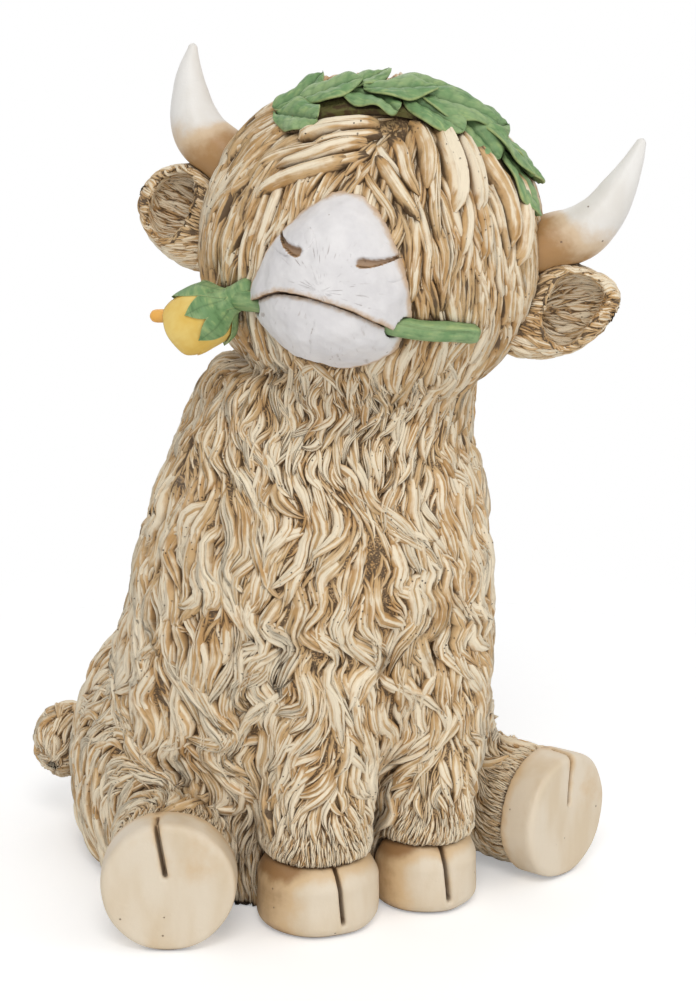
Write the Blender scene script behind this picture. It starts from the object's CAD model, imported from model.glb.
import math

import bmesh
import bpy
import numpy as np
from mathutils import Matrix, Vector
from mathutils.bvhtree import BVHTree


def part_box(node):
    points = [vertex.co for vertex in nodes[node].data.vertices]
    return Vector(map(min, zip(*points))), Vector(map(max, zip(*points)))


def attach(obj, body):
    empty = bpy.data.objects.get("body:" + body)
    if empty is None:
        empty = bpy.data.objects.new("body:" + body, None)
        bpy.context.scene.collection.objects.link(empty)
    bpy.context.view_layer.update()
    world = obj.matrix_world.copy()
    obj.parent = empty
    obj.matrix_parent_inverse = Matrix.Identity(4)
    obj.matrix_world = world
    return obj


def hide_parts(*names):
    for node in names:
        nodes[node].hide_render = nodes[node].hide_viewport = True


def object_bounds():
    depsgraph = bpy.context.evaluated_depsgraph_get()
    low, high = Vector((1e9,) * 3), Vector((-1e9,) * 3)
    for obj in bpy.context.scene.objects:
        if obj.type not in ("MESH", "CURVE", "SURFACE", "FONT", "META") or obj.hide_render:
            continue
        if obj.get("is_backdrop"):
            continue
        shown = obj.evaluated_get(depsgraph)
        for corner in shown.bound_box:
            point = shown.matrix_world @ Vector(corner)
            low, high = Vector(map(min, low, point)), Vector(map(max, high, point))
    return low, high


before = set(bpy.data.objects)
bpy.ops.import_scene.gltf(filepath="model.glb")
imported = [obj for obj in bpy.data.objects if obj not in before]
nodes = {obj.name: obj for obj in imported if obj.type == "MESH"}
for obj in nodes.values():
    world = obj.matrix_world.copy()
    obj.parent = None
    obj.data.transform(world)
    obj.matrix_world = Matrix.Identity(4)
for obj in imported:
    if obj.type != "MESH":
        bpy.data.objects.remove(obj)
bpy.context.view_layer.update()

# Everything below is worked out in millimetres and written to meshes in metres
MM = 0.001
scene = bpy.context.scene
rng = np.random.default_rng(11)
X, Y, Z = range(3)


# ---- vectors and the head's own frame
def unit(v):
    """Vectors at length 1."""
    return v / np.maximum(np.linalg.norm(v, axis=-1, keepdims=True), 1e-9)


def smooth(low, high, x):
    """0 at low and 1 at high, with a soft start and end."""
    t = np.clip((np.asarray(x, float) - low) / (high - low), 0, 1)
    return t * t * (3 - 2 * t)


def turn_about(axis, angle):
    """The matrix that turns by that angle, in degrees, about X, Y or Z."""
    c, s = math.cos(math.radians(angle)), math.sin(math.radians(angle))
    i, j = (axis + 1) % 3, (axis + 2) % 3
    matrix = np.eye(3)
    matrix[i, i], matrix[i, j], matrix[j, i], matrix[j, j] = c, -s, s, c
    return matrix


# the head's own frame: x to its left, -y out of the face, z up through the crown
HEAD_AT = np.array([4.0, -30.0, 170.0])
HEAD = turn_about(Z, -35) @ turn_about(X, -14) @ turn_about(Y, 13.5)
HEAD_R = float(np.ptp(np.array(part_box("head_shell")), axis=0)[0]) / MM / 2


def to_head(p):
    return (np.asarray(p, float) - HEAD_AT) @ HEAD


def from_head(p):
    return np.asarray(p, float) @ HEAD.T + HEAD_AT


def towards(turn, rise):
    """The way from the head's middle at those angles: turn from the face to its left, rise from level."""
    t, r = np.radians(turn), np.radians(rise)
    return np.stack([np.sin(t) * np.cos(r), -np.cos(t) * np.cos(r), np.sin(r) + 0 * t], -1)


def bell(x, width):
    """1 at 0, falling off on both sides over that width."""
    return np.exp(-(x / width) ** 2)


def rounded(x, middle, half, power, least=0.0004):
    """1 at the middle and near 0 at half a length from it, blunter for a higher power."""
    return np.sqrt(np.clip(1 - np.abs((x - middle) / half) ** power, least, 1))


def curve(knots, x):
    """A smooth curve through (place, value) knots."""
    xs, ys = np.array(knots, float).T
    slopes = np.gradient(ys, xs)
    x = np.clip(x, xs[0], xs[-1])
    i = np.clip(np.searchsorted(xs, x, side="right") - 1, 0, len(xs) - 2)
    h = xs[i + 1] - xs[i]
    t = (x - xs[i]) / h
    return (ys[i] * (1 + 2 * t) * (1 - t) ** 2 + slopes[i] * h * t * (1 - t) ** 2
            + ys[i + 1] * t * t * (3 - 2 * t) + slopes[i + 1] * h * t * t * (t - 1))


def ripple(p, scale, seed):
    """A smooth random value from about -1 to 1 at each point, from summed tilted waves."""
    r = np.random.default_rng(seed)
    total = 0
    for _ in range(6):
        k = unit(r.normal(size=3)) * 2 * math.pi / scale * r.uniform(0.6, 1.5)
        total = total + np.sin(p @ k + r.uniform(0, 6.28))
    return total / 2.6


# ---- meshes
def build_mesh(name, points, faces, values=None):
    """A mesh of quads, with its values kept as attributes of its points."""
    mesh = bpy.data.meshes.new(name)
    mesh.vertices.add(len(points))
    mesh.vertices.foreach_set("co", (np.asarray(points) * MM).astype(np.float32).ravel())
    faces = np.asarray(faces, np.int32)
    mesh.loops.add(faces.size)
    mesh.loops.foreach_set("vertex_index", faces.ravel())
    mesh.polygons.add(len(faces))
    mesh.polygons.foreach_set("loop_start", np.arange(0, faces.size, faces.shape[1], dtype=np.int32))
    mesh.update(calc_edges=True)
    mesh.polygons.foreach_set("use_smooth", np.ones(len(faces), bool))
    for key, value in (values or {}).items():
        value = np.asarray(value, np.float32)
        if value.ndim == 1:
            mesh.attributes.new(key, "FLOAT", "POINT").data.foreach_set("value", value)
        else:
            mesh.attributes.new(key, "FLOAT_VECTOR", "POINT").data.foreach_set("vector", value.ravel())
    return mesh


def add(name, data):
    obj = bpy.data.objects.new(name, data)
    scene.collection.objects.link(obj)
    return obj


def piece(name, arrays, material, slot, *replaced):
    """A piece made of these points, quads and values, in place of the CAD nodes that it replaces."""
    obj = add(name, build_mesh(name, *arrays))
    obj.data.materials.append(material)
    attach(obj, "root")
    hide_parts(*replaced)


def vectors_of(mesh, key):
    """The places (co) or normals (normal) of a mesh's vertices."""
    values = np.zeros(len(mesh.vertices) * 3, np.float32)
    mesh.vertices.foreach_get(key, values)
    return values.reshape(-1, 3).astype(float)


def grid_faces(rows, columns, closed=False, start=0):
    """Quads of a grid of points stored row by row; closed joins the last column to the first."""
    i = np.arange(rows - 1)[:, None]
    j = np.arange(columns if closed else columns - 1)[None, :]
    k = (j + 1) % columns
    quads = np.stack([i * columns + j, i * columns + k, (i + 1) * columns + k, (i + 1) * columns + j], -1)
    return quads.reshape(-1, 4) + start


def two_sided(sheets, rows, columns):
    """A closed shell from its two sides, each a grid of points stored row by row."""
    index = np.arange(rows * columns).reshape(rows, columns)
    rim = np.concatenate([index[0, :], index[1:, -1], index[-1, -2::-1], index[-2:0:-1, 0]])
    after, below = np.roll(rim, -1), rows * columns
    wall = np.stack([after, rim, rim + below, after + below], -1)
    quads = [grid_faces(rows, columns), grid_faces(rows, columns, start=below)[:, ::-1], wall]
    return np.concatenate(sheets), np.concatenate(quads)


def resculpt(names, voxel, rounds):
    """One closed skin round these CAD nodes, remeshed and smoothed, as points, normals and quads."""
    bm = bmesh.new()
    for name in names:
        bm.from_mesh(nodes[name].data)
    mesh = bpy.data.meshes.new("skin")
    bm.to_mesh(mesh)
    bm.free()
    obj = add("skin", mesh)
    remesh = obj.modifiers.new("remesh", "REMESH")
    remesh.mode = "VOXEL"
    remesh.voxel_size = voxel * MM
    relax = obj.modifiers.new("relax", "SMOOTH")
    relax.factor = 0.5
    relax.iterations = rounds
    made = bpy.data.meshes.new_from_object(obj.evaluated_get(bpy.context.evaluated_depsgraph_get()))
    bpy.data.objects.remove(obj)
    bpy.data.meshes.remove(mesh)
    p, n = vectors_of(made, "co") / MM, vectors_of(made, "normal")
    loops = np.zeros(len(made.loops), np.int32)
    made.loops.foreach_get("vertex_index", loops)
    bpy.data.meshes.remove(made)
    return keep_outer(p, n, loops.reshape(-1, 4))


def keep_outer(p, n, q):
    """Only the largest connected surface, so that the hollows inside are left out."""
    label = np.arange(len(p))
    while True:
        low = label[q].min(1)
        new = label.copy()
        np.minimum.at(new, q.ravel(), np.repeat(low, 4))
        new = new[new]
        if (new == label).all():
            break
        label = new
    names, counts = np.unique(label[q[:, 0]], return_counts=True)
    best = max(names, key=lambda k: np.ptp(p[label == k], axis=0).sum())
    used = np.flatnonzero(label == best)
    index = np.full(len(p), -1)
    index[used] = np.arange(len(used))
    return p[used], n[used], index[q[label[q[:, 0]] == best]]


# ---- materials
def linear(colour):
    """The linear colour of a 0 to 255 display colour; the output of a node stays as it is."""
    if not isinstance(colour, tuple):
        return colour
    return tuple(((c / 255 + 0.055) / 1.055) ** 2.4 for c in colour) + (1,)


class Nodes:
    """A tree of shader nodes in the making."""

    def __init__(self, tree):
        self.tree = tree

    def link(self, output, to):
        if hasattr(output, "is_output"):
            self.tree.links.new(output, to)
        else:
            to.default_value = output

    def node(self, kind, inputs=None, **settings):
        """The outputs of a new node with these settings, its inputs linked or set as the dict says."""
        made = self.tree.nodes.new(kind)
        for key, value in settings.items():
            setattr(made, key, value)
        for key, value in (inputs or {}).items():
            self.link(value, made.inputs[key])
        return made.outputs

    def math(self, operation, a, b):
        return self.node("ShaderNodeMath", {0: a, 1: b}, operation=operation)[0]

    def span(self, value, low, high, to_low=0.0, to_high=1.0, kind="SMOOTHSTEP"):
        inputs = {"Value": value, "From Min": low, "From Max": high, "To Min": to_low, "To Max": to_high}
        return self.node("ShaderNodeMapRange", inputs, interpolation_type=kind)["Result"]


class Shader(Nodes):
    """A material in the making: a Principled BSDF and the nodes that feed it."""

    def __init__(self, name, roughness, specular=0.35):
        self.material = bpy.data.materials.new(name)
        self.material.use_nodes = True
        super().__init__(self.material.node_tree)
        self.bsdf = self.tree.nodes["Principled BSDF"]
        self.bsdf.inputs["Roughness"].default_value = roughness
        self.bsdf.inputs["Specular IOR Level"].default_value = specular

    def attribute(self, name, output="Fac"):
        return self.node("ShaderNodeAttribute", attribute_name=name)[output]

    def place(self):
        return self.node("ShaderNodeTexCoord")["Object"]

    def noise(self, scale, detail=3.0, roughness=0.5, at=None, stretch=(1, 1, 1)):
        """Noise of that wavelength in millimetres, over the object or over the given coordinates."""
        per = (1 / MM if at is None else 1) / scale
        at = self.place() if at is None else at
        scaled = self.node("ShaderNodeMapping", {"Vector": at, "Scale": tuple(per * s for s in stretch)})["Vector"]
        inputs = {"Vector": scaled, "Scale": 1.0, "Detail": detail, "Roughness": roughness}
        return self.node("ShaderNodeTexNoise", inputs)["Fac"]

    def varied(self, value, noise, amount):
        """The value, made higher and lower by the noise."""
        return self.math("ADD", value, self.math("MULTIPLY", self.math("SUBTRACT", noise, 0.5), amount))

    def mix(self, factor, a, b):
        inputs = {"Factor": factor, "A": linear(a), "B": linear(b)}
        return self.node("ShaderNodeMix", inputs, data_type="RGBA")["Result"]

    def specks(self, spacing, size, share):
        """1 inside small round pinholes, which that share of the cells has."""
        cells = self.node("ShaderNodeTexVoronoi", {"Vector": self.place(), "Scale": 1 / MM / spacing})
        chosen = self.math("LESS_THAN", self.node("ShaderNodeSeparateColor", {"Color": cells["Color"]})[0], share)
        edge = size / spacing
        return self.math("MULTIPLY", chosen, self.span(cells["Distance"], edge * 0.6, edge, 1.0, 0.0))

    def dotted(self, base, dots, strength, paint):
        return self.mix(self.math("MULTIPLY", dots, strength), base, paint)

    def tinted(self, base, value, low, high, strength, paint):
        """Paint that comes in as the value goes from low to high."""
        return self.mix(self.span(value, low, high, 0.0, strength), base, paint)

    def washed(self, base, distance, low, high, strength, paint):
        """Paint left in crevices of that width: most where they open less than low, none above high."""
        ao = self.node("ShaderNodeAmbientOcclusion", {"Distance": distance * MM}, samples=6)["AO"]
        return self.mix(self.span(ao, low, high, strength, 0.0), base, paint)

    def finish(self, base, height, depth):
        """The material, in that colour and with that height as bump."""
        bump = self.node("ShaderNodeBump", {"Distance": depth * MM, "Height": height})["Normal"]
        self.link(bump, self.bsdf.inputs["Normal"])
        self.link(base, self.bsdf.inputs["Base Color"])
        return self.material


def hair_material():
    """Cream dry-brushed over tan, with a dark brown wash left in the grooves and small pits on the crests."""
    s = Shader("hair_paint", 0.55)
    ridge, tone, strand = s.attribute("ridge"), s.attribute("tone"), s.attribute("strand", "Vector")
    fine = s.noise(0.5, 2.0, 0.5, at=strand, stretch=(1.0, 0.07, 1.0))
    patch = s.noise(9.0, 3.0, 0.6)
    blotch = s.noise(2.6, 3.0, 0.6)
    raised = s.varied(s.varied(s.varied(ridge, fine, 1.3), tone, 0.5), blotch, 0.6)
    mid = s.mix(s.span(patch, 0.40, 0.62), (216, 182, 134), (198, 156, 102))
    base = s.mix(s.span(raised, 0.02, 0.36), (100, 80, 58), mid)
    base = s.tinted(base, raised, 0.46, 1.0, 1.0, (248, 233, 205))
    pits = s.math("MULTIPLY", s.specks(1.2, 0.26, 0.6), s.span(s.noise(7.0, 2.0), 0.52, 0.60))
    base = s.dotted(base, pits, 0.85, (78, 60, 44))
    base = s.washed(base, 10.0, 0.22, 0.66, 0.62, (122, 98, 70))
    base = s.washed(base, 2.0, 0.20, 0.74, 0.95, (84, 66, 47))
    return s.finish(base, s.math("SUBTRACT", fine, pits), 0.45)


def muzzle_material():
    """Matt white, stained brown near the hair and mouth and in the nostrils, with fine scratches."""
    s = Shader("muzzle_paint", 0.6, 0.25)
    stain, dark, strand = s.attribute("stain"), s.attribute("dark"), s.attribute("strand", "Vector")
    patch = s.noise(8.0, 3.0, 0.6)
    base = s.mix(s.span(patch, 0.35, 0.65), (236, 233, 232), (226, 223, 223))
    streak = s.noise(0.55, 2.0, 0.5, at=strand, stretch=(1.0, 0.10, 1.0))
    broken = s.noise(2.4, 2.0, 0.5)
    scratch = s.math("MULTIPLY", s.span(streak, 0.60, 0.70), s.span(broken, 0.43, 0.56))
    scratch = s.math("MULTIPLY", scratch, s.attribute("scratched"))
    base = s.dotted(base, scratch, 0.7, (176, 164, 158))
    edge = s.varied(stain, s.noise(2.2, 3.0, 0.6), 0.9)
    base = s.tinted(base, edge, 0.35, 1.1, 0.85, (206, 172, 132))
    base = s.tinted(base, dark, 0.15, 0.6, 1.0, (168, 134, 98))
    base = s.tinted(base, dark, 0.62, 1.0, 1.0, (74, 54, 40))
    base = s.dotted(base, s.specks(3.4, 0.3, 0.16), 0.6, (140, 116, 96))
    base = s.washed(base, 1.2, 0.15, 0.6, 0.9, (84, 64, 48))
    return s.finish(base, s.math("SUBTRACT", s.noise(0.9, 3.0, 0.6), scratch), 0.10)


def ivory_material(name, pale, darker, brown):
    """Ivory that is stained brown where its stain value is high, with a few pinholes."""
    s = Shader(name, 0.42, 0.4)
    stain = s.attribute("stain")
    cloud = s.noise(7.0, 4.0, 0.6)
    base = s.mix(s.span(s.noise(11.0, 3.0, 0.55, stretch=(1.0, 1.0, 0.35)), 0.35, 0.68), pale, darker)
    worn = s.varied(stain, cloud, 0.85)
    base = s.tinted(base, worn, 0.22, 0.75, 0.75, (214, 180, 132))
    base = s.tinted(base, worn, 0.70, 1.25, 0.9, brown)
    pits = s.specks(3.2, 0.32, 0.20)
    base = s.dotted(base, pits, 0.8, (122, 98, 76))
    base = s.washed(base, 1.6, 0.20, 0.75, 0.92, (104, 78, 54))
    return s.finish(base, s.math("SUBTRACT", s.noise(1.6, 4.0, 0.6), pits), 0.12)


def leaf_material():
    """Green with pale dry-brushed edges, dark creases and streaks along the veins."""
    s = Shader("leaf_paint", 0.5, 0.35)
    edge, vein, strand = s.attribute("edge"), s.attribute("vein"), s.attribute("strand", "Vector")
    streak = s.noise(1.1, 3.0, 0.6, at=strand, stretch=(0.25, 1.0, 1.0))
    cloud = s.noise(6.0, 3.0, 0.6)
    base = s.mix(s.span(cloud, 0.36, 0.64), (146, 172, 120), (114, 150, 98))
    base = s.tinted(base, streak, 0.50, 0.70, 0.6, (170, 190, 126))
    base = s.tinted(base, streak, 0.48, 0.30, 0.5, (72, 106, 64))
    rim = s.varied(edge, cloud, 0.8)
    base = s.tinted(base, rim, 0.80, 1.15, 0.8, (186, 196, 132))
    base = s.dotted(base, vein, 0.75, (62, 92, 56))
    base = s.washed(base, 1.8, 0.20, 0.75, 0.9, (52, 62, 38))
    return s.finish(base, streak, 0.18)


def petal_material():
    """Yellow, deeper in the folds and orange at the rolled tips."""
    s = Shader("petal_paint", 0.45, 0.35)
    tip, strand = s.attribute("tip"), s.attribute("strand", "Vector")
    streak = s.noise(1.6, 3.0, 0.55, at=strand, stretch=(1.0, 0.12, 1.0))
    cloud = s.noise(8.0, 3.0, 0.6)
    base = s.mix(s.span(cloud, 0.36, 0.66), (243, 212, 124), (236, 196, 96))
    base = s.tinted(base, streak, 0.52, 0.72, 0.35, (228, 186, 84))
    base = s.tinted(base, tip, 0.45, 1.0, 0.9, (250, 178, 84))
    base = s.washed(base, 2.0, 0.20, 0.80, 0.75, (206, 142, 44))
    return s.finish(base, streak, 0.10)


def base_material():
    """Plain cream paint, a little mottled, with pinholes."""
    s = Shader("base_paint", 0.6)
    pits = s.specks(3.5, 0.35, 0.3)
    base = s.mix(s.span(s.noise(10.0, 4.0, 0.6), 0.35, 0.65), (214, 190, 150), (196, 168, 122))
    base = s.dotted(base, pits, 0.8, (120, 96, 70))
    return s.finish(base, s.math("SUBTRACT", s.noise(1.5, 4.0, 0.6), pits), 0.12)


def band_material():
    """Dark moss green and brown, for the shaded band under the leaves."""
    s = Shader("band_paint", 0.7, 0.2)
    base = s.mix(s.span(s.noise(3.0, 3.0, 0.6), 0.42, 0.58), (108, 104, 62), (88, 72, 50))
    base = s.washed(base, 1.5, 0.2, 0.7, 0.9, (52, 46, 34))
    return s.finish(base, s.noise(1.2, 3.0, 0.6), 0.4)


def floor_material():
    """White card that takes the object's shadow and fades into the white background away from it."""
    fade_from, fade_to = 0.11, 0.30
    s = Shader("floor_card", 0.95, 0.0)
    s.finish((0.93, 0.93, 0.93, 1), s.noise(30.0), 0.02)
    seen = s.math("MULTIPLY", s.node("ShaderNodeLightPath")["Is Camera Ray"], 0.30)
    glow = s.node("ShaderNodeEmission", {"Color": (1, 1, 1, 1), "Strength": seen})[0]
    lit = s.node("ShaderNodeAddShader", {0: s.bsdf.outputs[0], 1: glow})[0]
    away = s.node("ShaderNodeVectorMath", {0: s.place()}, operation="LENGTH")["Value"]
    gone = s.node("ShaderNodeBsdfTransparent")[0]
    fade = s.node("ShaderNodeMixShader", {0: s.span(away, fade_from, fade_to), 1: lit, 2: gone})[0]
    s.link(fade, s.tree.nodes["Material Output"].inputs["Surface"])
    return s.material


# ---- skins that hair grows on
def nearest_node(points, names):
    """For each point, which of the named CAD nodes is nearest."""
    best, label = np.full(len(points), 1e9), np.zeros(len(points), int)
    for k, name in enumerate(names):
        mesh = nodes[name].data
        mesh.calc_loop_triangles()
        tris = [tuple(t.vertices) for t in mesh.loop_triangles]
        tree = BVHTree.FromPolygons([v.co / MM for v in mesh.vertices], tris)
        far = np.array([tree.find_nearest(p)[3] for p in points])
        label[far < best] = k
        best = np.minimum(best, far)
    return label


class Skin:
    """A closed skin with the way the hair lies, its coarseness and its swing at every point."""

    def __init__(self, p, n, q):
        self.p, self.q = p, q
        sides = np.concatenate([q[:, [0, 1]], q[:, [1, 2]], q[:, [2, 3]], q[:, [3, 0]]])
        edges = np.unique(np.sort(sides, axis=1), axis=0)
        self.start, self.end = np.concatenate([edges, edges[:, ::-1]]).T
        self.count = np.bincount(self.start, minlength=len(p))
        self.n = unit(self.spread(n, 3))

    def spread(self, values, rounds):
        """Values at the skin's points, evened out over the neighbours."""
        values = np.array(values, float)
        flat = values.reshape(len(values), -1)
        for _ in range(rounds):
            around = [np.bincount(self.start, flat[self.end, c], len(flat)) for c in range(flat.shape[1])]
            flat = 0.4 * flat + 0.6 * np.stack(around, -1) / self.count[:, None]
        return flat.reshape(values.shape)

    def comb(self, field, size, swing, tone):
        """Sets which way the hair lies, how coarse it is, how far it swings and how pale it is."""
        self.size, self.swing, self.tone = size, swing, tone
        self.tree = BVHTree.FromPolygons([Vector(v) for v in self.p], [tuple(map(int, f)) for f in self.q])
        self.face_field = field[self.q].mean(1)
        self.face_normal = unit(self.n[self.q].mean(1))

    def near(self, points):
        """The nearest places on the skin, with their normals and flow."""
        hits = [self.tree.find_nearest(p) for p in points]
        index = np.array([h[2] for h in hits])
        return np.array([h[0] for h in hits]), self.face_normal[index], self.face_field[index]

    def scatter(self, spacing, chosen, seed):
        """Points of the skin at least spacing times their size apart, in random order."""
        r = np.random.default_rng(seed)
        apart = 1.3
        cell = spacing * apart
        around = [(a, b, c) for a in (-1, 0, 1) for b in (-1, 0, 1) for c in (-1, 0, 1)]
        taken, found = {}, []
        for i in r.permutation(np.flatnonzero(chosen)):
            p, reach = self.p[i], spacing * self.size[i] * apart
            x, y, z = (p // cell).astype(int)
            others = [o for a, b, c in around for o in taken.get((x + a, y + b, z + c), ())]
            if all(abs(p[0] - o[0]) + abs(p[1] - o[1]) + abs(p[2] - o[2]) >= reach for o in others):
                taken.setdefault((x, y, z), []).append(p)
                found.append(i)
        return np.array(found)

    def grow(self, found, length, steps, stray, seed):
        """Paths along the flow from the found points: (steps, locks, 3) points, normals and sides."""
        r = np.random.default_rng(seed)
        own_turn = r.normal(0, stray * 0.5, len(found))
        own_bend = r.normal(0, stray, len(found))
        points, normals, flows = self.near(self.p[found])
        ps, ns, ts = [], [], []
        for k in range(steps):
            angle = wave_turn(points, self.swing[found]) + own_turn + own_bend * (2 * k / (steps - 1) - 1)
            t = unit(flows - normals * (flows * normals).sum(1, keepdims=True))
            t = t * np.cos(angle)[:, None] + np.cross(normals, t) * np.sin(angle)[:, None]
            ps.append(points), ns.append(normals), ts.append(t)
            points, normals, flows = self.near(points + t * (length / (steps - 1))[:, None])
        ps, ns, ts = np.array(ps), np.array(ns), np.array(ts)
        return ps, ns, unit(np.cross(ns, ts))

    def layer(self, spacing, chosen, forms, length, half_width, height, stray, tone, seed):
        """One layer of locks: for each form, its places, paths and sizes."""
        r = np.random.default_rng(seed)
        found = self.scatter(spacing, chosen, seed)
        kind = r.integers(0, len(forms), len(found))
        made = []
        for k, form in enumerate(forms):
            own = found[kind == k]
            size = self.size[own] * r.uniform(0.75, 1.3, len(own))
            paths = self.grow(own, length * size, form["steps"], stray, seed + k)
            wide = half_width * self.size[own] * r.uniform(0.8, 1.25, len(own))
            sizes = (wide, height * size ** 0.6, length * size, self.tone[own] + tone)
            made.append((own, form, paths, sizes))
        return made


def wave_turn(p, strength):
    """The angle by which the hair swings to and fro as it runs down."""
    phase = 2.4 * ripple(p, 42, 5) + 1.1 * ripple(p, 17, 6)
    return strength * np.sin(2 * math.pi * p[:, 2] / 26.0 + phase)


# Each kind of lock: the place across, height and paint of its section, and how many steps it has along.
# Its edges lie below the skin, by SINK times its height
SINK = 0.45
BLADE_WIDTH = ((0, 0.3), (0.15, 0.68), (0.35, 1.0), (0.55, 0.97), (0.75, 0.68), (0.9, 0.32), (1, 0.03))
BLADE_HEIGHT = ((0, -0.3), (0.12, 0.2), (0.3, 0.7), (0.5, 0.98), (0.7, 1.0), (0.86, 0.78), (1, 0.25))
ROPE_WIDTH = ((0, 0.55), (0.12, 0.82), (0.35, 1.0), (0.7, 0.95), (0.86, 0.74), (0.95, 0.48), (1, 0.15))
ROPE_HEIGHT = ((0, -0.1), (0.12, 0.6), (0.35, 0.95), (0.7, 1.0), (0.9, 0.85), (1, 0.2))
STRAND = {"u": (-1, -0.35, 0.35, 1), "z": (-SINK, 0.85, 0.85, -SINK), "ridge": (0, 0.85, 0.85, 0), "steps": 7}
TWO = {"u": (-1, -0.76, -0.4, 0.02, 0.18, 0.5, 0.82, 1), "z": (-SINK, 0.55, 1.0, 0.9, 0.76, 0.98, 0.6, -SINK),
       "ridge": (0, 0.5, 1.0, 0.7, 0.42, 0.95, 0.5, 0), "steps": 10}
THREE = {"u": (-1, -0.82, -0.56, -0.34, -0.04, 0.26, 0.44, 0.74, 1),
         "z": (-SINK, 0.45, 0.82, 0.68, 1.0, 0.92, 0.68, 0.62, -SINK),
         "ridge": (0, 0.4, 0.9, 0.42, 1.0, 0.8, 0.4, 0.75, 0), "steps": 10}
FOUR = {"u": (-1, -0.84, -0.64, -0.48, -0.2, -0.04, 0.2, 0.38, 0.62, 0.82, 1),
        "z": (-SINK, 0.5, 0.8, 0.62, 1.0, 0.8, 0.98, 0.7, 0.8, 0.5, -SINK),
        "ridge": (0, 0.5, 0.95, 0.35, 1.0, 0.5, 1.0, 0.4, 0.9, 0.4, 0), "steps": 10}
ROPE = {"u": (-1, -0.86, -0.55, -0.15, 0.25, 0.5, 0.84, 1),
        "z": (-SINK, 0.38, 0.84, 1.0, 0.92, 0.8, 0.36, -SINK),
        "ridge": (0, 0.3, 0.72, 1.0, 0.95, 0.6, 0.28, 0), "steps": 12}
ROPE, ROPE_TWO, ROPE_THREE = ({**k, "wide": ROPE_WIDTH, "high": ROPE_HEIGHT} for k in (ROPE, TWO, THREE))


def lock_arrays(form, ps, ns, sides, half_width, height, length, tone, seed):
    """Points, quads and values of tapered locks along the paths, each with engraved grooves."""
    r = np.random.default_rng(seed)
    steps, count = ps.shape[:2]
    u, z, ridge = (np.array(form[k], float) for k in ("u", "z", "ridge"))
    inner = (np.abs(u) < 1)[:, None]
    flip = r.choice((-1.0, 1.0), count)
    s = np.linspace(0, 1, steps)
    w = curve(form.get("wide", BLADE_WIDTH), s)[:, None] * half_width[None]
    h = curve(form.get("high", BLADE_HEIGHT), s)[:, None] * height[None]
    tilt = r.normal(0, 0.24, count)
    jitter = 1 + r.normal(0, 0.12, (len(u), count)) * inner
    slide = r.normal(0, 0.05, (len(u), count)) * inner
    # the grooves of a lock drift sideways along it, so that its strands run into each other
    drift = r.normal(0, 0.16, count)[None, None] * (s[:, None, None] - 0.5) * (1 - u[None, :, None] ** 2)
    across = (u[None, :, None] * flip + slide[None] + drift) * w[:, None, :]
    up = z[None, :, None] * jitter[None] * h[:, None, :] + tilt[None, None] * across
    up = np.where(z[None, :, None] < 0, -SINK * height[None, None], up)
    points = ps[:, None] + sides[:, None] * across[..., None] + ns[:, None] * up[..., None]
    points = points.transpose(2, 0, 1, 3).reshape(-1, 3)
    quads = grid_faces(steps, len(u))[None] + (np.arange(count) * steps * len(u))[:, None, None]
    turned = np.where((flip < 0)[:, None, None], quads[:, :, ::-1], quads)
    shade = ridge[None, :] * smooth(-0.02, 0.3, s)[:, None] * (1 - 0.35 * smooth(0.75, 1, s))[:, None]
    tones = np.repeat(np.clip(tone + r.uniform(-0.5, 0.5, count), -0.6, 1.2), steps * len(u))
    own = r.uniform(0, 50, count)
    strand = np.stack([across + own, np.broadcast_to(s[:, None, None] * length, across.shape),
                       np.broadcast_to(own, across.shape)], -1)
    strand = strand.transpose(2, 0, 1, 3).reshape(-1, 3)
    values = {"ridge": np.tile(shade.ravel(), count), "tone": tones, "strand": strand}
    return points, turned.reshape(-1, 4), values


def joined(parts):
    """One set of points, quads and values from several."""
    points, quads, values, start = [], [], {}, 0
    for p, q, v in parts:
        points.append(p)
        quads.append(q + start)
        start += len(p)
        for key, value in v.items():
            values.setdefault(key, []).append(value)
    return np.concatenate(points), np.concatenate(quads), {k: np.concatenate(v) for k, v in values.items()}


def fur_piece(name, node, skin, chosen_quads, layers, chosen_points, seed):
    """The skin's chosen part with the locks that grow from it, in place of the node."""
    used, faces = np.unique(skin.q[chosen_quads], return_inverse=True)
    bed = {"ridge": np.full(len(used), 0.1), "tone": np.full(len(used), 0.5), "strand": skin.p[used]}
    parts = [(skin.p[used], faces.reshape(-1, 4), bed)]
    for found, form, paths, sizes in layers:
        m = chosen_points[found]
        if m.any():
            parts.append(lock_arrays(form, *(k[:, m] for k in paths), *(k[m] for k in sizes), seed))
    p, q, v = joined(parts)
    lowest = 0.05
    p[:, 2] = np.maximum(p[:, 2], lowest)
    piece(name, (p, q, v), hair, "hair_cream", node)


hair = hair_material()

# ---- the coat of the body and the head
FURRY = ("torso_shell", "head_shell", "foreleg_right", "foreleg_left", "hind_leg_right", "hind_leg_left",
         "tail", "tail_tuft")
TORSO, HEADS, LEG_RIGHT, LEG_LEFT, HAUNCH_RIGHT, HAUNCH_LEFT, TAIL, TUFT = range(len(FURRY))
HOOF_RIGHT, HOOF_LEFT = np.array([-52.0, -32.0, 16.8]), np.array([52.0, -32.0, 16.8])
SOLE_RIGHT, SOLE_LEFT = np.array([-0.4226, -0.9063, 0.0]), np.array([0.4226, -0.9063, 0.0])
FOOT_RIGHT, FOOT_LEFT = np.array([-14.2, -37.0]), np.array([16.2, -37.0])
HAUNCHES = ((HAUNCH_RIGHT, HOOF_RIGHT, SOLE_RIGHT, 1), (HAUNCH_LEFT, HOOF_LEFT, SOLE_LEFT, -1))

body = Skin(*resculpt(FURRY, 1.3, 16))
body_label = nearest_node(body.p, FURRY)
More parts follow.
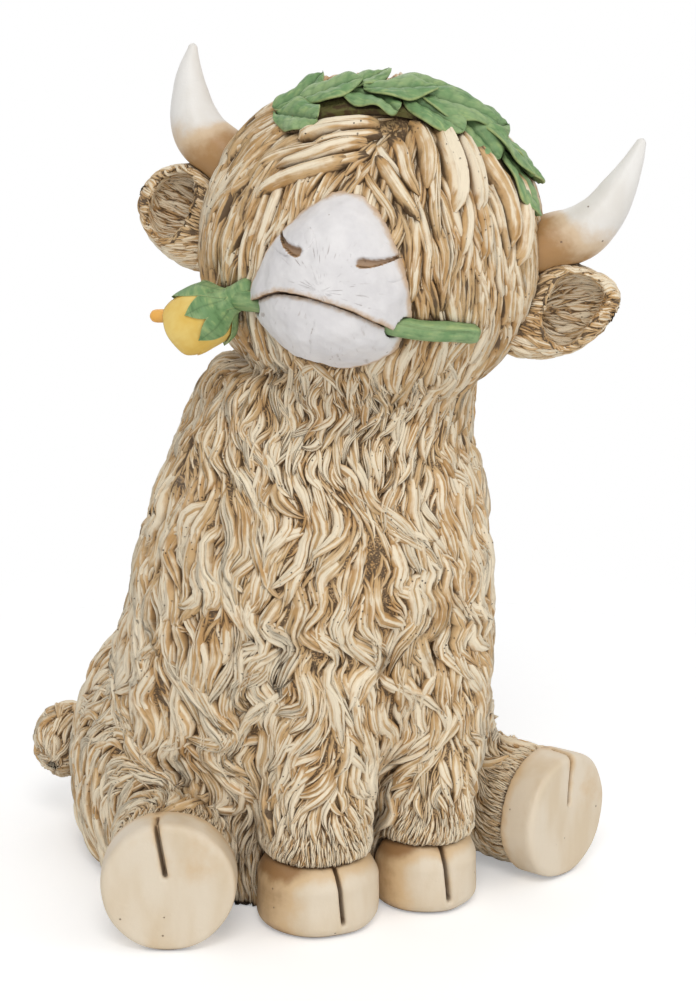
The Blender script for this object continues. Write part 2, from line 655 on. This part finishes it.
# the coat starts a little inside the torso and the head, whose solids already hold the main locks
BED = 0.9
sunk = body.spread((body_label <= HEADS).astype(float), 12)
body.p = body.p - body.n * (BED * sunk)[:, None]


def body_flow(p, label):
    """Which way the hair lies at each point of the skin."""
    down = np.array([0, 0, -1.0])
    field = np.tile(down, (len(p), 1))
    # head: away from the parting on the crown, then more and more downwards
    h = label == HEADS
    d = unit(to_head(p[h]))
    parting = towards(10, 50)
    cosine = d @ parting
    away = unit(d * cosine[:, None] - parting) @ HEAD.T
    pull = smooth(0.95, -0.25, cosine)[:, None]
    field[h] = away * (1 - 0.75 * pull) + down * (0.15 + 1.1 * pull)
    # forelegs: fanning from the front line of each leg, more so above the hoof
    for k, foot in ((LEG_RIGHT, FOOT_RIGHT), (LEG_LEFT, FOOT_LEFT)):
        m = label == k
        side = (p[m, 0] - foot[0]) / 13
        fan = 1.15 * smooth(78, 45, p[m, 2]) * smooth(12, 42, p[m, 2]) + 0.2
        field[m] = down + np.stack([side * fan, 0 * side, 0 * side], -1)
    # haunches: rows that go forward over the top and turn down in front, and a ring of short hair to the hoof
    for k, hoof, sole, mirror in HAUNCHES:
        m = label == k
        r = p[m] - (hoof + np.array([0, 14, 2]))
        axis = np.array([-0.75 * mirror, -0.6, 0.1])
        swirl = unit(np.cross(r, axis) * mirror)
        lean = swirl + 0.35 * down
        q = p[m] - hoof
        along = q @ sole
        off = np.linalg.norm(q - along[:, None] * sole, axis=1)
        ring = smooth(-14, -5, along) * smooth(24, 20, off)
        field[m] = lean * (1 - ring)[:, None] + (sole + 0.25 * unit(q)) * ring[:, None]
    # tail: along its bow towards the tuft, and out of the tuft's end
    for k in (TAIL, TUFT):
        m = label == k
        r = p[m] - np.array([-27.5, 23.0, 24.0])
        field[m] = unit(np.cross(np.array([0, 0, 1.0]), r)) + (0.5 * down if k == TUFT else 0)
    return unit(field)


def body_size(p, label):
    """How coarse the hair is at each point: 1 is a lock about 4 mm wide."""
    size = np.full(len(p), 1.12)
    size[(label == TORSO) & (p[:, 2] > 120)] = 0.62
    size[label == HEADS] = 0.95
    legs = (label == LEG_RIGHT) | (label == LEG_LEFT)
    size[legs] = 0.42 + 0.55 * smooth(22, 62, p[legs, 2])
    for k, hoof, sole, mirror in HAUNCHES:
        m = label == k
        size[m] = 0.48 + 0.42 * smooth(-6, -18, (p[m] - hoof) @ sole)
    size[label == TAIL] = 0.7
    size[label == TUFT] = 0.6
    chin = (label == HEADS) & (to_head(p)[:, 2] < -24)
    size[chin] = 0.6
    return size


def bare(points, normals):
    """Where no hair grows: the underside, and the face under the muzzle."""
    under = (points[:, 2] < 1.2) | ((points[:, 2] < 4) & (normals[:, 2] < -0.5))
    d = to_head(points)
    knots = (-31, 2), (-27, 10), (-22, 15.5), (-15, 18.5), (-8, 17.5), (0, 12), (5, 6), (7, 1)
    half = curve(knots, d[:, 2])
    face = (np.abs(d[:, 0]) < half) & (d[:, 1] < -20) & (d[:, 2] > -31) & (d[:, 2] < 7)
    return under | face


kinds = [body_label == TORSO, body_label == HEADS, body_label >= HAUNCH_RIGHT]
swing = np.select(kinds, [0.62, 0.16, 0.22], 0.30)
swing = body.spread(swing, 10) * (0.35 + 0.65 * smooth(8, 40, body.p[:, 2]))
flow = body.spread(body_flow(body.p, body_label), 14)
size = body.spread(body_size(body.p, body_label), 12)
body.comb(flow, size, swing, np.full(len(body.p), 0.5))
growing = ~bare(body.p, body.n)
ropy = growing & (body_label == HEADS) & (to_head(body.p)[:, 2] > -22)
# spacing, place, kinds of lock, length, half width, height, stray, tone and seed of each layer
layers = body.layer(1.85, growing, (STRAND,), 11.0, 0.72, 0.75, 0.30, -0.25, 31)
short = growing & (body.p[:, 2] < 34) & (body.p[:, 1] < -8)
layers += body.layer(3.9, growing & ~ropy & ~short, (TWO, THREE, TWO, FOUR), 18.0, 1.95, 2.0, 0.52, 0.1, 32)
layers += body.layer(2.2, short, (STRAND, TWO), 11.0, 0.85, 1.3, 0.2, 0.25, 38)
layers += body.layer(3.3, ropy, (ROPE_TWO, ROPE_THREE, ROPE, TWO), 20.0, 1.75, 2.2, 0.34, -0.25, 36)
COATS = ("torso_coat", "head_coat", "foreleg_coat_right", "foreleg_coat_left", "haunch_coat_right",
         "haunch_coat_left", "tail_coat", "tail_tuft_coat")
for k, (name, node) in enumerate(zip(COATS, FURRY)):
    own = body_label == k
    fur_piece(name, node, body, own[body.q].sum(1) >= 2, layers, own, 40 + k)

# ---- ears
# how far the outline of each ear is out of round, by angle from straight out: the left one has a high corner
EAR_ROUND = {
    "right": ((-180, 1), (-90, 1.0), (-40, 0.97), (0, 0.97), (40, 1.02), (90, 1.05), (180, 1)),
    "left": ((-180, 1), (-90, 0.92), (-35, 0.88), (5, 0.98), (32, 1.26), (55, 1.16), (90, 1.13), (180, 1)),
}
EAR_OUT, EAR_UP = 43.0, -5.0
for side, which in ((-1, "right"), (1, "left")):
    p, n, q = resculpt(("ear_" + which,), 0.8, 5)
    d = to_head(p)
    from_middle = d[:, [0, 2]] - np.array([side * EAR_OUT, EAR_UP])
    angle = np.degrees(np.arctan2(from_middle[:, 1], side * from_middle[:, 0]))
    stretch = curve(EAR_ROUND[which], angle)
    weight = smooth(HEAD_R - 2, HEAD_R + 3, np.linalg.norm(d, axis=1))
    d[:, [0, 2]] += from_middle * ((stretch - 1) * weight)[:, None]
    # the upper rim folds forwards over the cup
    fold = smooth(1.0, 6.5, d[:, 2]) * smooth(3.5, -1.0, d[:, 1]) * weight
    d[:, 1] -= 2.2 * fold
    ear = Skin(from_head(d), n, q)
    fan = np.stack([0 * d[:, 0] + side, 0 * d[:, 0], 0.045 * (d[:, 2] - EAR_UP) + 0.12], -1)
    cup = smooth(4.5, 1.5, d[:, 1]) * smooth(10.5, 6.0, np.abs(d[:, 2] + 4))
    ear.comb(fan @ HEAD.T, np.full(len(d), 0.62), np.full(len(d), 0.12), 0.55 - 0.75 * cup)
    free = np.linalg.norm(d, axis=1) > HEAD_R - 0.5
    ear_layers = ear.layer(1.9, free, (STRAND,), 9.0, 0.75, 0.5, 0.26, 0.1, 51)
    ear_layers += ear.layer(3.8, free, (TWO, THREE), 11.0, 1.5, 0.7, 0.26, 0.25, 53)
    all_quads, all_points = np.ones(len(q), bool), np.ones(len(p), bool)
    fur_piece("ear_form_" + which, "ear_" + which, ear, all_quads, ear_layers, all_points, 55)

# ---- fringe: rope-like locks over the brow
# turn and rise of the root and then of the tip, and the width, of each lock and of the strand beside it
FRINGE = (
    ((3, 27, 23, 9, 1.9), (1, 21, 15, 4, 1.2)),
    ((6, 35, 21, 17, 1.9), (3, 31, 14, 20, 1.2)),
    ((13, 45, 23, 20, 2.1), (18, 38, 28, 12, 1.4)),
    ((25, 48, 34, 15, 2.6), (21, 40, 31, 5, 1.5)),
    ((32, 47, 43, 17, 2.3), (33, 28, 40, 2, 1.6)),
    ((42, 44, 60, 10, 2.6), (38, 30, 49, 3, 1.8)),
    ((64, 38, 66, 5, 2.7), (54, 38, 66, 14, 1.8)),
    ((-1, 40, -27, 25, 2.0), (2, 36, -20, 24, 1.4)),
    ((-2, 31, -30, 14, 2.1), (0, 27, -22, 12, 1.4)),
    ((-4, 24, -33, 3, 1.9), (-12, 27, -38, 12, 1.5)),
)
for i, locks in enumerate(FRINGE):
    parts = []
    for j, (turn_a, rise_a, turn_b, rise_b, wide) in enumerate(locks):
        form = (ROPE, ROPE_TWO, ROPE_THREE)[(i + 2 * j) % 3]
        s = np.linspace(0, 1, form["steps"])
        sag = rng.uniform(-1, 3.5) * np.sin(math.pi * s) + rng.uniform(-1.5, 1.5) * np.sin(2 * math.pi * s)
        turn = turn_a + (turn_b - turn_a) * s + sag * (1 if turn_b > 0 else -1)
        outward = towards(turn, rise_a + (rise_b - rise_a) * s)
        path = from_head(outward * (HEAD_R + 0.9 - 0.5 * j))
        ns = outward @ HEAD.T
        sides = unit(np.cross(ns, unit(np.gradient(path, axis=0))))
        long = np.linalg.norm(np.diff(path, axis=0), axis=1).sum()
        parts.append(lock_arrays(form, path[:, None], ns[:, None], sides[:, None], np.array([wide]),
                                 np.array([wide * 1.3]), np.array([long]), np.array([0.62]), 70 + 2 * i + j))
    piece("fringe_rope_%02d" % (i + 1), joined(parts), hair, "hair_cream", "fringe_lock_%02d" % (i + 1))


# ---- muzzle and lower lip
def mouth_height(x):
    """How high the arched line of the mouth is, in the head's frame."""
    drop_share, bend_share = 0.210, 0.716
    drop, bend = HEAD_R * 2 * drop_share, HEAD_R * 2 * bend_share
    return -drop - bend + np.sqrt(bend ** 2 - x ** 2)


def fitted(x, z, y):
    """The smooth surface nearest to these points, as a function of x and z."""
    terms_each, half_wide, half_high, middle = 7, 20, 14, 6

    def terms(x, z):
        x, z = x / half_wide, (z + middle) / half_high
        return np.stack([x ** i * z ** j for i in range(terms_each) for j in range(terms_each - i)], -1)

    weights = np.linalg.lstsq(terms(x, z), y, rcond=None)[0]
    return lambda x, z: terms(x, z) @ weights


NOSTRIL_IN, NOSTRIL_LONG = 6.8, 6.6
NOSTRIL_OUT, NOSTRIL_DEEP = 9.7, 1.9


def nostril_shape(x, z):
    """How far out of the comma-shaped nostrils, thick at the inner end, and how far below their middle."""
    t = (np.abs(x) - NOSTRIL_IN) / NOSTRIL_LONG
    s = np.clip(t, 0, 1)
    middle = -7.0 + 0.11 * x + 4.6 * s ** 1.9
    width = 0.26 + 0.85 * np.sqrt(1 - s) * (1 - 0.2 * s)
    off = np.hypot(z - middle, np.abs(t - s) * NOSTRIL_LONG) / width
    return off, (middle - z) / width


muzzle_paint = muzzle_material()
for node, name in (("muzzle", "muzzle_form"), ("lower_lip", "lip_form")):
    p, n, q = resculpt((node,), 0.42, 4)
    d, facing = to_head(p), (n @ HEAD)[:, 1] < -0.25
    x, z = d[:, 0], d[:, 2]
    upper = node == "muzzle"
    gap = np.abs(z - mouth_height(x))
    dark = np.zeros(len(p))
    if upper:
        off, below = nostril_shape(x, z)
        plain = (np.abs(z + 4.5) > 5.5) | (np.abs(np.abs(x) - NOSTRIL_OUT) > 6.5)
        plain = plain & facing & (gap > 1.5) & (z < 3)
        surface = fitted(x[plain], z[plain], d[plain, 1])
        front = d[:, 1] < -26
        hole = smooth(7.5, 5.5, np.hypot(np.abs(x) - NOSTRIL_OUT, (z + 4.8) * 1.3)) * front
        lip = 0.25 * smooth(2.2, 1.4, off) * smooth(0.9, 1.3, off)
        y = surface(x, z) + NOSTRIL_DEEP * smooth(1.2, 0.5, off) - lip
        d[:, 1] += (y - d[:, 1]) * hole
        edge = smooth(0.45, 0.95, below) * smooth(1.45, 1.0, off)
        dark = np.maximum(0.5 * smooth(1.3, 0.8, off), edge) * front
        n = vectors_of(build_mesh("resculpted", from_head(d), q), "normal")
    dark = np.maximum(dark, smooth(0.45, 0.15, gap))
    border = smooth(4.5, 1.2, np.linalg.norm(d, axis=1) - HEAD_R + 0.6)
    stain = np.maximum(border * 1.05, smooth(2.4, 0.3, gap) * 0.85)
    d[:, 2] += (-0.22 if upper else 0.22) * smooth(1.3, 0.1, gap)
    d[:, 2] -= 1.9 * smooth(-8.0, -17.0, x) * bell(z + 19, 6)
    d[:, 0] += 0.05 * x + 0.07 * np.maximum(x, 0)
    d += (n @ HEAD) * (0.14 * ripple(d, 9, 61) + 0.06 * ripple(d, 3, 62))[:, None]
    centre = (1.0, -15.0 if upper else 8.0)
    across, above = x - centre[0], z - centre[1]
    angle, radius = np.arctan2(across, above) * 12, np.hypot(across, above)
    scratched = smooth(15, 7, radius) if upper else smooth(-17, -24, z)
    strand = np.stack([angle, radius, 0 * x], -1)
    values = {"stain": stain, "dark": dark, "scratched": scratched, "strand": strand}
    piece(name, (from_head(d), q, values), muzzle_paint, "muzzle_white", node)


# ---- horns
def tube(path, radii, columns):
    """A tube round a path, as points, quads and the outward way at each point."""
    along = unit(np.gradient(path, axis=0))
    across = unit(np.cross(along, np.array([0.1, 0.2, 1.0])))
    other = np.cross(along, across)
    a = np.linspace(0, 2 * math.pi, columns, endpoint=False)
    ring = across[:, None] * np.cos(a)[None, :, None] + other[:, None] * np.sin(a)[None, :, None]
    points = path[:, None] + ring * np.asarray(radii)[:, None, None]
    return points.reshape(-1, 3), grid_faces(len(path), columns, closed=True), ring.reshape(-1, 3)


horn_paint = ivory_material("horn_paint", (240, 237, 232), (230, 225, 217), (172, 128, 74))
# how far along its way out and up the horn has come, and how thick it is, at even steps from root to tip
HORN_SHARES = ((-0.45, 0.10, 0.48, 0.74, 0.88, 0.96, 1.00), (-0.16, 0.03, 0.16, 0.36, 0.60, 0.82, 1.00),
               (1.02, 1.03, 1.00, 0.86, 0.64, 0.42, 0.21))
HORN_ROOT, HORN_OUT, HORN_RADIUS = 10.5, 17.0, 6.7
for side, which, up in ((-1, "right", 24.0), (1, "left", 29.5)):
    s = np.linspace(0, 1, 60)
    out_share, up_share, thick = (curve(list(zip(np.linspace(0, 1, 7), k)), s) for k in HORN_SHARES)
    radius = HORN_RADIUS * thick
    root = math.sqrt(HEAD_R ** 2 - HORN_ROOT ** 2)
    path = np.stack([side * (root + HORN_OUT * out_share), 0 * s, HORN_ROOT + up * up_share], -1)
    # a round end
    a = np.linspace(0.15, 1, 7) * math.pi / 2
    path = np.concatenate([path, path[-1] + unit(path[-1] - path[-2]) * radius[-1] * np.sin(a)[:, None]])
    radius = np.concatenate([radius, radius[-1] * np.maximum(np.cos(a), 0.02)])
    p, q, ring = tube(path, radius, 40)
    p = p + ring * 0.18 * ripple(p, 13, 80)[:, None]
    lower = -ring[:, 2] * 0.6 + side * ring[:, 0] * 0.6
    at = np.repeat(np.concatenate([s, np.ones(7)]), 40)
    stain = smooth(0.56, 0.12, at - 0.10 * lower) * 1.3
    arrays = from_head(p), q, {"stain": stain}
    piece("horn_form_" + which, arrays, horn_paint, "horn_ivory", "horn_" + which)

# ---- hooves
hoof_paint = ivory_material("hoof_paint", (229, 215, 193), (219, 200, 171), (152, 112, 70))
for which, centre, sole, lean in (("right", HOOF_RIGHT, SOLE_RIGHT, 9), ("left", HOOF_LEFT, SOLE_LEFT, -5)):
    node = "hind_hoof_" + which
    p, _, q = resculpt((node,), 0.45, 4)
    d = p - centre
    along = d @ sole
    flat = d - along[:, None] * sole
    off = np.linalg.norm(flat, axis=1)
    # a squarer edge round the sole
    round_off, round_along = 13.3, 6.65
    a, b = np.maximum(off - round_off, 0), np.maximum(along - round_along, 0)
    fuller = np.where((a > 0) & (b > 0), np.hypot(a, b) / np.maximum((a ** 4 + b ** 4) ** 0.25, 1e-6), 1)
    flat = flat * ((off + a * (fuller - 1)) / np.maximum(off, 1e-6))[:, None]
    along = along + b * (fuller - 1)
    # turned about its own axis, so that the cleft leans
    c, s = math.cos(math.radians(lean)), math.sin(math.radians(lean))
    across, high = flat @ np.cross([0, 0, 1.0], sole), flat[:, 2]
    beside = bell(across, 1.6) * smooth(1.5, 3.5, high)
    cut = bell(across, 0.5) * smooth(2.4, 3.6, high) * smooth(3.0, 4.6, along)
    along = along - 1.7 * cut
    flat = flat * (1 - 0.09 * cut * smooth(11, 14, off))[:, None]
    patch = np.exp(-((across - 8) / 6.5) ** 2 - ((high - 5) / 7.5) ** 2)
    stain = 0.42 * smooth(4, 0.5, along) + 0.45 * beside + 0.42 * patch + 0.18 * smooth(10, 15, off)
    flat = flat * c + np.cross(sole, flat) * s
    p = centre + flat + along[:, None] * sole
    p = p + unit(p - centre) * 0.14 * ripple(p, 15, 90)[:, None]
    piece(node + "_form", (p, q, {"stain": stain}), hoof_paint, "hoof_ivory", node)
for node, foot, radius in (("fore_hoof_right", FOOT_RIGHT, 15.4), ("fore_hoof_left", FOOT_LEFT, 13.4)):
    p, _, q = resculpt((node,), 0.45, 4)
    x, y, z = p[:, 0] - foot[0], p[:, 1] - foot[1], p[:, 2]
    outward = unit(np.stack([x, y], -1))
    # drawn in at the top, under the hair, and cut by the cleft
    off = np.hypot(x, y)
    inwards = 0.15 * smooth(12.0, 18.5, z) * off
    cleft = smooth(-0.6 * radius, -0.8 * radius, y) * smooth(2.5, 4.5, z) * (z < 18)
    inwards += 1.6 * bell(x, 0.55) * cleft
    p[:, :2] += outward * (0.2 * ripple(p, 14, 95) - inwards)[:, None]
    p[:, 0] -= 0.09 * (z - 9) * smooth(-0.5 * radius, -0.8 * radius, y) * bell(x, 5)
    beside = bell(x, 1.5) * (y < 0) * smooth(2.0, 4.0, z)
    outer = smooth(0.40, 0.95, -x / radius)
    stain = 0.8 * smooth(12.5, 18.5, z) + 0.85 * outer + 0.3 * smooth(3.0, 0.4, z) + 0.35 * beside
    piece(node + "_form", (p, q, {"stain": stain}), hoof_paint, "hoof_ivory", node)

# ---- garland
leaf_paint = leaf_material()
LEAN = turn_about(Z, 16.6) @ turn_about(X, -62.4)


def leaf_arrays(outward, ahead, heading, lift, length, width, seed):
    """A leaf lying on the head: two sides with a keel and side veins, wavy at the edge, lifted at the tip."""
    r = np.random.default_rng(seed)
    rows, columns = 30, 17
    s = np.linspace(0, 1, rows)[:, None]
    v = np.linspace(-1, 1, columns)[None, :]
    x_dir = unit(ahead - outward * (ahead @ outward))
    y_dir = np.cross(outward, x_dir)
    c, t = math.cos(math.radians(heading)), math.sin(math.radians(heading))
    x_dir, y_dir = x_dir * c + y_dir * t, -x_dir * t + y_dir * c
    half = width / 2 * np.sin(math.pi * s ** 0.8) ** 0.62
    half = half * (1 + 0.10 * np.sin(9 * s + r.uniform(0, 6) + 2 * np.sign(v)))
    bend = r.normal(0, 1.1) * np.sin(math.pi * s) + 0 * v
    x = (s - 0.5) * length + 0.3 * np.abs(v) * half
    y = v * half + bend
    side_vein = np.sin(2 * math.pi * (s * 5.5 - 0.55 * np.abs(v)) + r.uniform(0, 6))
    up = 1.15 * np.sin(math.pi * np.abs(v) * 0.85) - 0.8 * bell(v, 0.12)
    up = up * np.sin(math.pi * np.clip(s, 0.04, 0.97)) ** 0.4
    up = up + 0.13 * side_vein * (np.abs(v) > 0.1) * (1 - v ** 4)
    twist, wave = r.normal(0, 0.16), r.uniform(0.4, 0.9)
    up = up + twist * y + wave * v ** 2 * np.sin(2 * math.pi * s * 1.6 + r.uniform(0, 6) + 1.5 * np.sign(v))
    up = up + lift + 1.6 * s ** 2
    thick = 0.45 + 1.3 * (1 - v ** 4) * np.sin(math.pi * np.clip(s, 0.02, 0.98)) ** 0.5
    sheets = []
    for height in (up, up - thick):
        turned = outward + (x[..., None] * x_dir + y[..., None] * y_dir) / HEAD_R
        sheets.append((unit(turned) * (HEAD_R + height)[..., None]).reshape(-1, 3))
    p, q = two_sided(sheets, rows, columns)
    edge = np.maximum(np.abs(v) ** 2.4, 0.8 * bell(s - 1, 0.08) + 0 * v)
    vein = bell(v, 0.09) + 0.30 * (side_vein < -0.72) * (np.abs(v) > 0.1)
    flat = [np.tile(np.broadcast_to(k, (rows, columns)).ravel(), 2) for k in (edge, vein, x, y)]
    strand = np.stack([flat[2] + seed * 7.0, flat[3], 0 * flat[3]], -1)
    return from_head(p), q, {"edge": flat[0], "vein": np.clip(flat[1], 0, 1), "strand": strand}


LEAF_LONG, LEAF_WIDE = 17.5, 11.0
SIDE_TURNS, SIDE_LIFT = (-40, -19, 1, 21, 39), 1.8
MIDDLE_TURNS, MIDDLE_LIFT = (-32, -10, 11, 31), 2.8
leaves = []
for i, turn in enumerate(SIDE_TURNS):
    for j, side in enumerate((-1, 1)):
        leaves.append(("garland_side_leaf_%02d" % (2 * i + j + 1), turn, side, SIDE_LIFT))
for i, turn in enumerate(MIDDLE_TURNS):
    leaves.append(("garland_middle_leaf_%02d" % (i + 1), turn, 0, MIDDLE_LIFT))
for i, (node, turn, side, lift) in enumerate(leaves):
    rise = -6.0 + side * 7.0 + rng.uniform(-1, 1)
    turn = turn + rng.uniform(-3, 3)
    outward, ahead = LEAN @ towards(turn, rise), LEAN @ towards(turn + 30, rise)
    ragged = turn < -20
    heading = side * (38 if ragged else 22) + rng.uniform(-14, 14)
    size = rng.uniform(0.9, 1.08) * (0.84 if ragged else 1)
    lift = lift + rng.uniform(-0.3, 0.5)
    arrays = leaf_arrays(outward, ahead, heading, lift, LEAF_LONG * size, LEAF_WIDE * size, 100 + i)
    piece(node.replace("garland_", ""), arrays, leaf_paint, "leaf_green", node)

# ---- tulip
petal_paint = petal_material()
STEM_DROP, STEM_R, STEM_OUT, STEM_TILT = 19.2, 2.4, 2.55, 5.5
STEM_FROM, STEM_TO = -39, 54


def head_ring(height):
    """The radius of the ring, just outside the head, at that height."""
    return math.sqrt((HEAD_R + STEM_OUT) ** 2 - height ** 2)


stem_ring = head_ring(STEM_DROP)
stem_climb = stem_ring * math.sin(math.radians(STEM_TILT))
stem_shift = (head_ring(STEM_DROP - stem_climb) - head_ring(STEM_DROP + stem_climb)) / 2
STEM_TURN = turn_about(Y, -STEM_TILT)


def stem_at(angle):
    """A place on the stem's ring, in the head's frame."""
    return towards(angle, 0) * stem_ring @ STEM_TURN.T + np.array([stem_shift, 0, -STEM_DROP])


turns = np.concatenate([[STEM_FROM] * 2, np.linspace(STEM_FROM, STEM_TO, 60), [STEM_TO] * 2])
radii = STEM_R * np.concatenate([[0.02, 0.8], np.ones(60), [0.86, 0.02]])
path = stem_at(turns + np.linspace(-0.02, 0.02, 64))
path[:, 2] += 1.6 * smooth(28, STEM_TO, turns)
p, q, ring = tube(path, radii, 24)
a = np.tile(np.linspace(0, 2 * math.pi, 24, endpoint=False), 64)
along = np.repeat(np.radians(turns) * stem_ring, 24)
p = p + ring * (0.13 * np.sin(5 * a + 0.12 * along) + 0.12 * ripple(p, 8, 120))[:, None]
strand = np.stack([along, a * STEM_R, 0 * a], -1)
values = {"edge": 0.55 + 0.4 * np.sin(3 * a + 0.1 * along), "vein": 0 * a, "strand": strand}
piece("stem_form", (from_head(p), q, values), leaf_paint, "leaf_green", "tulip_stem")

BLOOM = turn_about(Z, -22) @ turn_about(Y, -131)
bloom_at = stem_at(float(STEM_FROM))


def bloom_piece(name, parts, material, slot, node):
    """A piece made of parts that are given in the bloom's own frame: z along it, 0 at the end of the stem."""
    p, q, v = joined(parts)
    piece(name, (from_head(p @ BLOOM.T + bloom_at), q, v), material, slot, node)


def bloom_radius(z):
    """The bloom's radius at each height above its calyx."""
    return 7.2 * rounded(z, 10.8, 9.6, 2.6, 0.02)


def blade(azimuth, outline, base, top, lift, thickness, seed, overlap=0.0):
    """A petal or sepal lying on the bloom, from base to top, its half angle from the outline's knots."""
    rows, columns = 34, 25
    s, v = np.linspace(0, 1, rows)[:, None], np.linspace(-1, 1, columns)[None, :]
    phi = math.radians(azimuth) + np.radians(np.maximum(curve(outline, s[:, 0]), 0.6))[:, None] * v
    z = base + (top - base) * s * (1 - 0.04 * v ** 2)
    cup = 2.2 + (bloom_radius(6.0) - 2.2) * smooth(0.8, 6.0, z)
    r = np.where(z < 6, cup, bloom_radius(z)) + lift + overlap * v
    r = r + 0.14 * np.sin(6 * phi + seed) * smooth(0, 0.3, s) + 0.12 * np.sin(7 * s + seed) * np.abs(v)
    sheets = []
    for inward in (0, thickness):
        rr = r - inward * (1 - 0.4 * v ** 4)
        sheet = np.stack([rr * np.cos(phi), rr * np.sin(phi), z - 0.3 * inward + 0 * phi], -1)
        sheets.append(sheet.reshape(-1, 3))
    shares = (smooth(0.7, 1.0, s) * 0.5 + 0 * v, np.abs(v) ** 2 + 0 * s, 0.6 * bell(v, 0.08) + 0 * s, phi * 8,
              z + 0 * v)
    tip, edge, vein, across, high = (np.tile(k.ravel(), 2) for k in shares)
    values = {"tip": tip, "edge": edge, "vein": vein, "strand": np.stack([across, high, 0 * high], -1)}
    return *two_sided(sheets, rows, columns), values


def plain_tube(path, radii, columns, tip):
    """A tube with the values that leaf and petal paint need."""
    p, q, ring = tube(path, radii, columns)
    even = np.ones(len(p))
    return p, q, {"tip": tip * even, "edge": 0.4 * even, "vein": 0 * even, "strand": p}


PETAL = ((0, 40), (0.25, 66), (0.55, 74), (0.8, 66), (0.93, 44), (1, 10))
CUP = ((0, 50), (0.3, 78), (0.6, 86), (0.85, 84), (0.96, 74), (1, 60))
petals = ((225, CUP, 17.0, 0.5), (345, PETAL, 18.6, 0.25), (112, PETAL, 17.6, 0.0))
for i, (azimuth, outline, top, lift) in enumerate(petals):
    parts = [blade(azimuth, outline, 2.6, top, lift, 0.9, i, 0.25)]
    if i == 1:
        # its tip is rolled into a little tube
        t = np.linspace(0, 1, 16)[:, None]
        path = np.concatenate([2.6 + 3.4 * t, -1.6 - 1.2 * t, 14.2 + 7.0 * t], 1)
        radius = 1.6 * rounded(t[:, 0], 0.55, 0.47, 6)
        parts.append(plain_tube(path, radius, 20, 0.85))
    bloom_piece("petal_form_%d" % (i + 1), parts, petal_paint, "petal_yellow", "tulip_petal_%d" % (i + 1))

# the heart between the petals, shorter than they are
z = np.linspace(1.4, 14.6, 24)
radius = (bloom_radius(z) - 1.3) * rounded(z, 8, 6.65, 8)
heart = plain_tube(np.stack([0 * z, 0 * z, z], -1), radius, 32, 0.15)
bloom_piece("heart_form", [heart], petal_paint, "petal_yellow", "tulip_heart")

SEPAL = ((0, 52), (0.25, 36), (0.5, 27), (0.75, 16), (0.92, 6), (1, 1))
parts = [blade(azimuth, SEPAL, 0.2, top, 1.05, 1.0, i) for i, (azimuth, top) in
         enumerate(((318, 12.8), (264, 9.8), (216, 10.4), (12, 9.4), (75, 9.6), (145, 9.6)))]
z = np.linspace(-6.4, 4.6, 20)
radius = (3.1 + 1.8 * smooth(0.2, 4.6, z)) * rounded(z, -0.9, 5.6, 6)
parts.append(plain_tube(np.stack([0 * z, 0 * z, z], -1), radius, 24, 0.0))
bloom_piece("sepals_form", parts, leaf_paint, "leaf_green", "tulip_sepals")

# ---- solids that show as they are
for node, material in (("base_plate", base_material()), ("garland_band", band_material())):
    mesh = nodes[node].data
    mesh.materials.clear()
    mesh.materials.append(material)


# ---- camera, light and floor
BACK = unit(np.array([-0.408, -0.875, 0.259]))
TARGET = np.array([0.0, -25.0, 105.0])
DISTANCE = 650.0
FOCAL_PIXELS, HEIGHT_PIXELS, SENSOR = 2600, 1001, 36

lens = bpy.data.cameras.new("camera")
lens.lens = FOCAL_PIXELS / HEIGHT_PIXELS * SENSOR
lens.sensor_width = SENSOR
lens.clip_start = 0.01
camera = add("camera", lens)
camera.location = Vector((TARGET + BACK * DISTANCE) * MM)
camera.rotation_mode = "QUATERNION"
camera.rotation_quaternion = Vector(-BACK).to_track_quat("-Z", "Y")
scene.camera = camera


def lamp(name, place, size, energy):
    """A round soft lamp that points at the figure's middle."""
    data = bpy.data.lights.new(name, "AREA")
    data.shape = "DISK"
    data.size = size
    data.energy = energy
    obj = add(name, data)
    obj.location = place
    obj.rotation_mode = "QUATERNION"
    obj.rotation_quaternion = (Vector(place) - Vector((0, 0, 0.1))).to_track_quat("Z", "Y")


lamp("key", (-0.35, -0.75, 0.95), 0.45, 3.6)
lamp("front", (-0.25, -1.0, 0.22), 0.6, 1.7)
lamp("fill", (0.8, -0.6, 0.5), 0.8, 1.3)
lamp("back", (0.2, 0.8, 0.9), 0.8, 1.6)

world = bpy.data.worlds.new("studio")
scene.world = world
world.use_nodes = True
studio = Nodes(world.node_tree)
ray = studio.node("ShaderNodeLightPath")
seen = studio.math("MAXIMUM", ray["Is Camera Ray"], ray["Is Glossy Ray"])
background = studio.tree.nodes["Background"].inputs
background["Color"].default_value = (1, 1, 1, 1)
studio.link(studio.span(seen, 0.0, 1.0, 0.54, 1.0, "LINEAR"), background["Strength"])

floor_mesh = bpy.data.meshes.new("floor")
corners = [(-3, -3, 0), (3, -3, 0), (3, 3, 0), (-3, 3, 0)]
floor_mesh.from_pydata(corners, [], [(0, 1, 2, 3)])
floor = add("floor", floor_mesh)
floor_mesh.materials.append(floor_material())
floor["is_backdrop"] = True

scene.view_settings.view_transform = "Standard"

# ---- sizes
low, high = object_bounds()
